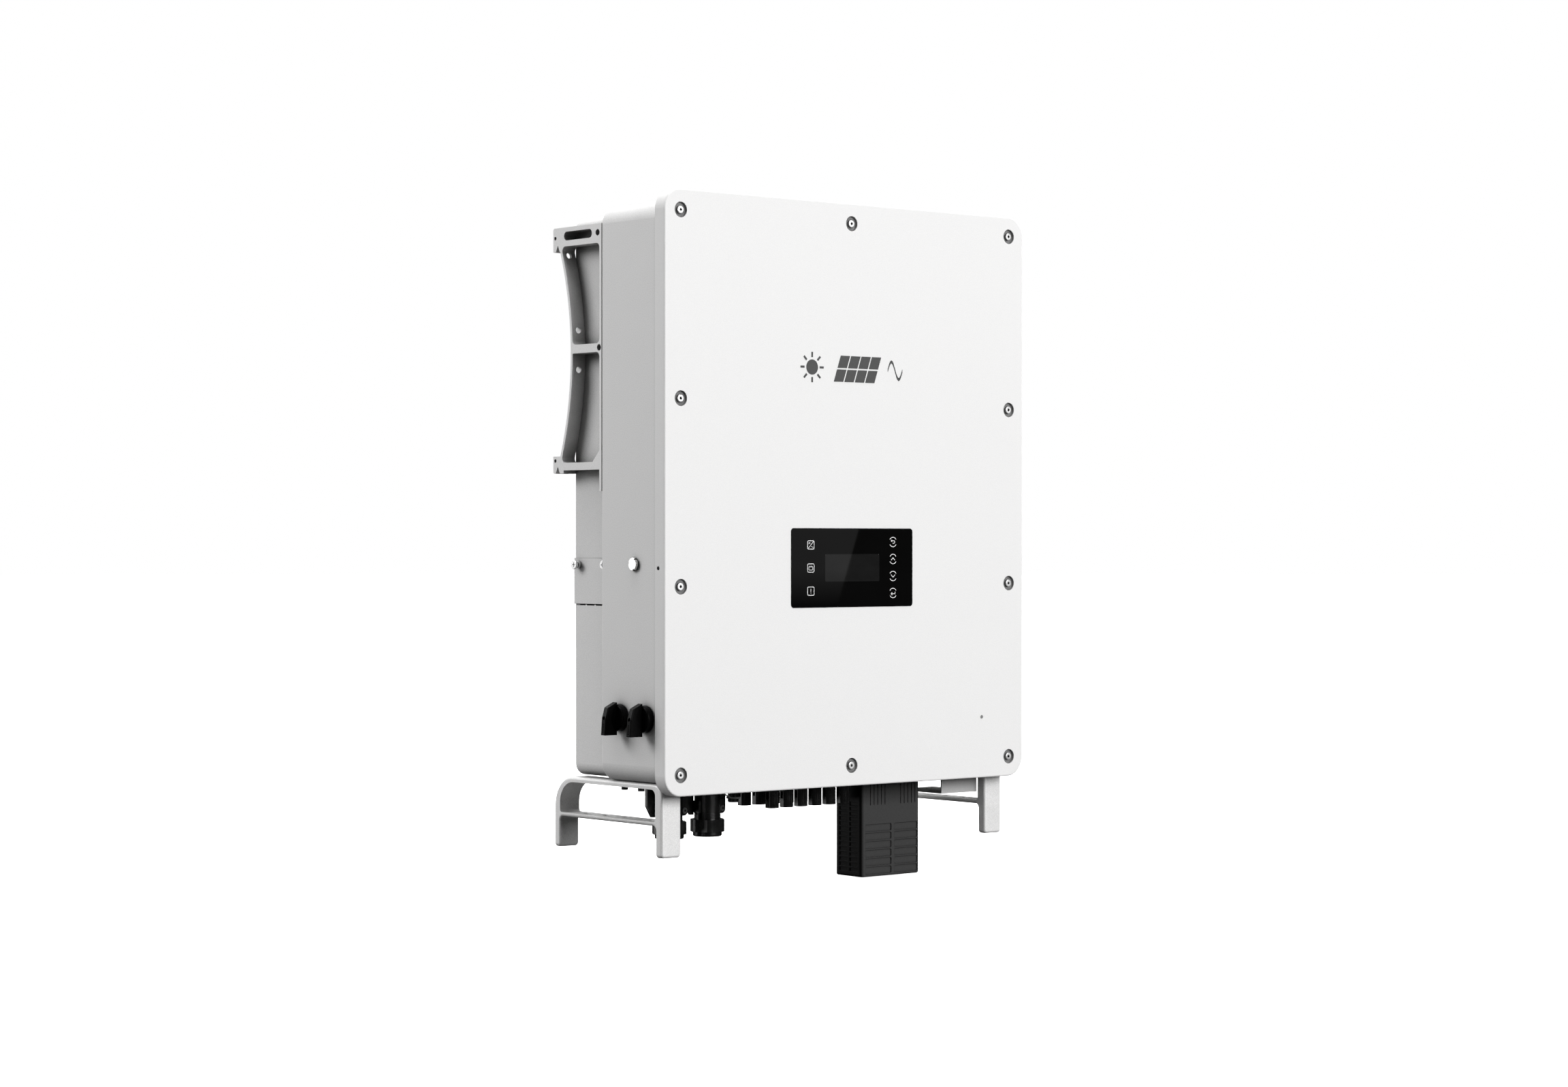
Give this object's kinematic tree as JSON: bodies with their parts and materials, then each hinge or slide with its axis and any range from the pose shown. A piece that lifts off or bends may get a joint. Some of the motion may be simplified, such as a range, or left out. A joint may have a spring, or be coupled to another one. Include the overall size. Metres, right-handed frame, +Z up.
{
  "type": "string inverter",
  "caption": "Wall-hung solar string inverter: flat white cover with display over a finned, fan-cooled grey enclosure with side hooks, feet, rotary DC switches and plug connectors.",
  "frame": {"origin": "middle of the line between the notches of the two upper hanging hooks", "axes": "+X to the right of someone facing the cover, +Y towards the wall, +Z up"},
  "size_m": [0.6275, 0.2465, 0.8606],
  "materials": {
    "cover_white": "fine matt powder coat",
    "case_grey": "fine matt powder coat",
    "bracket_grey": "matt powder coat",
    "foot_aluminium": "bead blasted",
    "bent_sheet": "matt powder coat",
    "stainless_steel": "bright machined",
    "dark_steel": "black oxide",
    "nickel": "bright nickel plate",
    "seal_rubber": "matt",
    "washer_grey": "matt",
    "display_glass": "black printed cover glass",
    "lcd_panel": "dark liquid crystal screen",
    "lamp_plastic": "diffusing",
    "circuit_board": "solder mask",
    "emblem_print": "printed",
    "lens_grey": "smoked",
    "heat_sink_aluminium": "extruded",
    "potted_inductor": "matt",
    "fan_plastic": "moulded",
    "switch_plastic": "satin gloss moulding",
    "shaft_steel": "turned",
    "connector_plastic": "satin moulding",
    "hood_plastic": "fine spark-eroded texture",
    "component_plastic": "moulded",
    "capacitor_can": "sleeved can",
    "copper": "tinned copper edges"
  },
  "bodies": {
    "root": {"front_cover": "cover_white", "main_enclosure": "case_grey", "duct_housing": "case_grey", "left_hanging_bracket": "bracket_grey", "right_hanging_bracket": "bracket_grey", "left_foot": "foot_aluminium", "right_foot": "foot_aluminium", "cable_tie_bracket": "bent_sheet", "cover_screws": "stainless_steel", "duct_screws": "stainless_steel", "ground_screw": "stainless_steel", "foot_bolts": "dark_steel", "bracket_bolts": "dark_steel", "com_ear_screws": "dark_steel", "vent_plug": "nickel", "ac_terminals": "nickel", "cover_gasket": "seal_rubber", "display_seal": "seal_rubber", "com_cable_seals": "seal_rubber", "ac_cable_seal": "seal_rubber", "cover_screw_washers": "washer_grey", "cap_tether": "washer_grey", "display_glass": "display_glass", "lcd_module": "lcd_panel", "lamp_light_pipes": "lamp_plastic", "display_board": "circuit_board", "power_board": "circuit_board", "control_board": "circuit_board", "front_emblem": "emblem_print", "indicator_lens": "lens_grey", "heat_sink": "heat_sink_aluminium", "duct_inductors": "potted_inductor", "switch_collars": "switch_plastic", "dc_isolators": "switch_plastic", "board_standoffs": "shaft_steel", "com_sockets": "connector_plastic", "com_gland_bodies": "connector_plastic", "com_gland_nuts": "connector_plastic", "service_port": "connector_plastic", "service_port_cap": "connector_plastic", "pv_sockets": "connector_plastic", "pv_caps": "connector_plastic", "pv_lock_nuts": "connector_plastic", "ac_socket": "hood_plastic", "ac_hood": "hood_plastic", "power_modules": "component_plastic", "filter_capacitors": "component_plastic", "grid_relays": "component_plastic", "dc_link_capacitors": "capacitor_can", "busbars": "copper"},
    "fan_tray": {"fan_tray": "case_grey", "fan_frames": "fan_plastic", "thumb_screws": "stainless_steel"},
    "fan_rotor_1": {"fan_rotor_1": "fan_plastic"},
    "fan_rotor_2": {"fan_rotor_2": "fan_plastic"},
    "fan_rotor_3": {"fan_rotor_3": "fan_plastic"},
    "dc_switch_1": {"switch_knob_1": "switch_plastic", "switch_shaft_1": "shaft_steel"},
    "dc_switch_2": {"switch_knob_2": "switch_plastic", "switch_shaft_2": "shaft_steel"}
  },
  "joints": [
    {"name": "dc_switch_1_turn", "type": "hinge", "parent": "root", "child": "dc_switch_1", "pos_m": [-0.297, -0.1312, -0.5878], "axis": [-1, 0, 0], "range_deg": [0, 90]},
    {"name": "dc_switch_2_turn", "type": "hinge", "parent": "root", "child": "dc_switch_2", "pos_m": [-0.297, -0.1822, -0.5878], "axis": [-1, 0, 0], "range_deg": [0, 90]},
    {"name": "fan_tray_slide", "type": "slide", "parent": "root", "child": "fan_tray", "axis": [-1, 0, 0], "range_m": [0, 0.48]},
    {"name": "fan_1_spin", "type": "hinge", "parent": "fan_tray", "child": "fan_rotor_1", "pos_m": [-0.172, -0.0499, -0.4326], "axis": [0, 0, 1], "continuous": true},
    {"name": "fan_2_spin", "type": "hinge", "parent": "fan_tray", "child": "fan_rotor_2", "pos_m": [0, -0.0499, -0.4326], "axis": [0, 0, 1], "continuous": true},
    {"name": "fan_3_spin", "type": "hinge", "parent": "fan_tray", "child": "fan_rotor_3", "pos_m": [0.172, -0.0499, -0.4326], "axis": [0, 0, 1], "continuous": true}
  ]
}
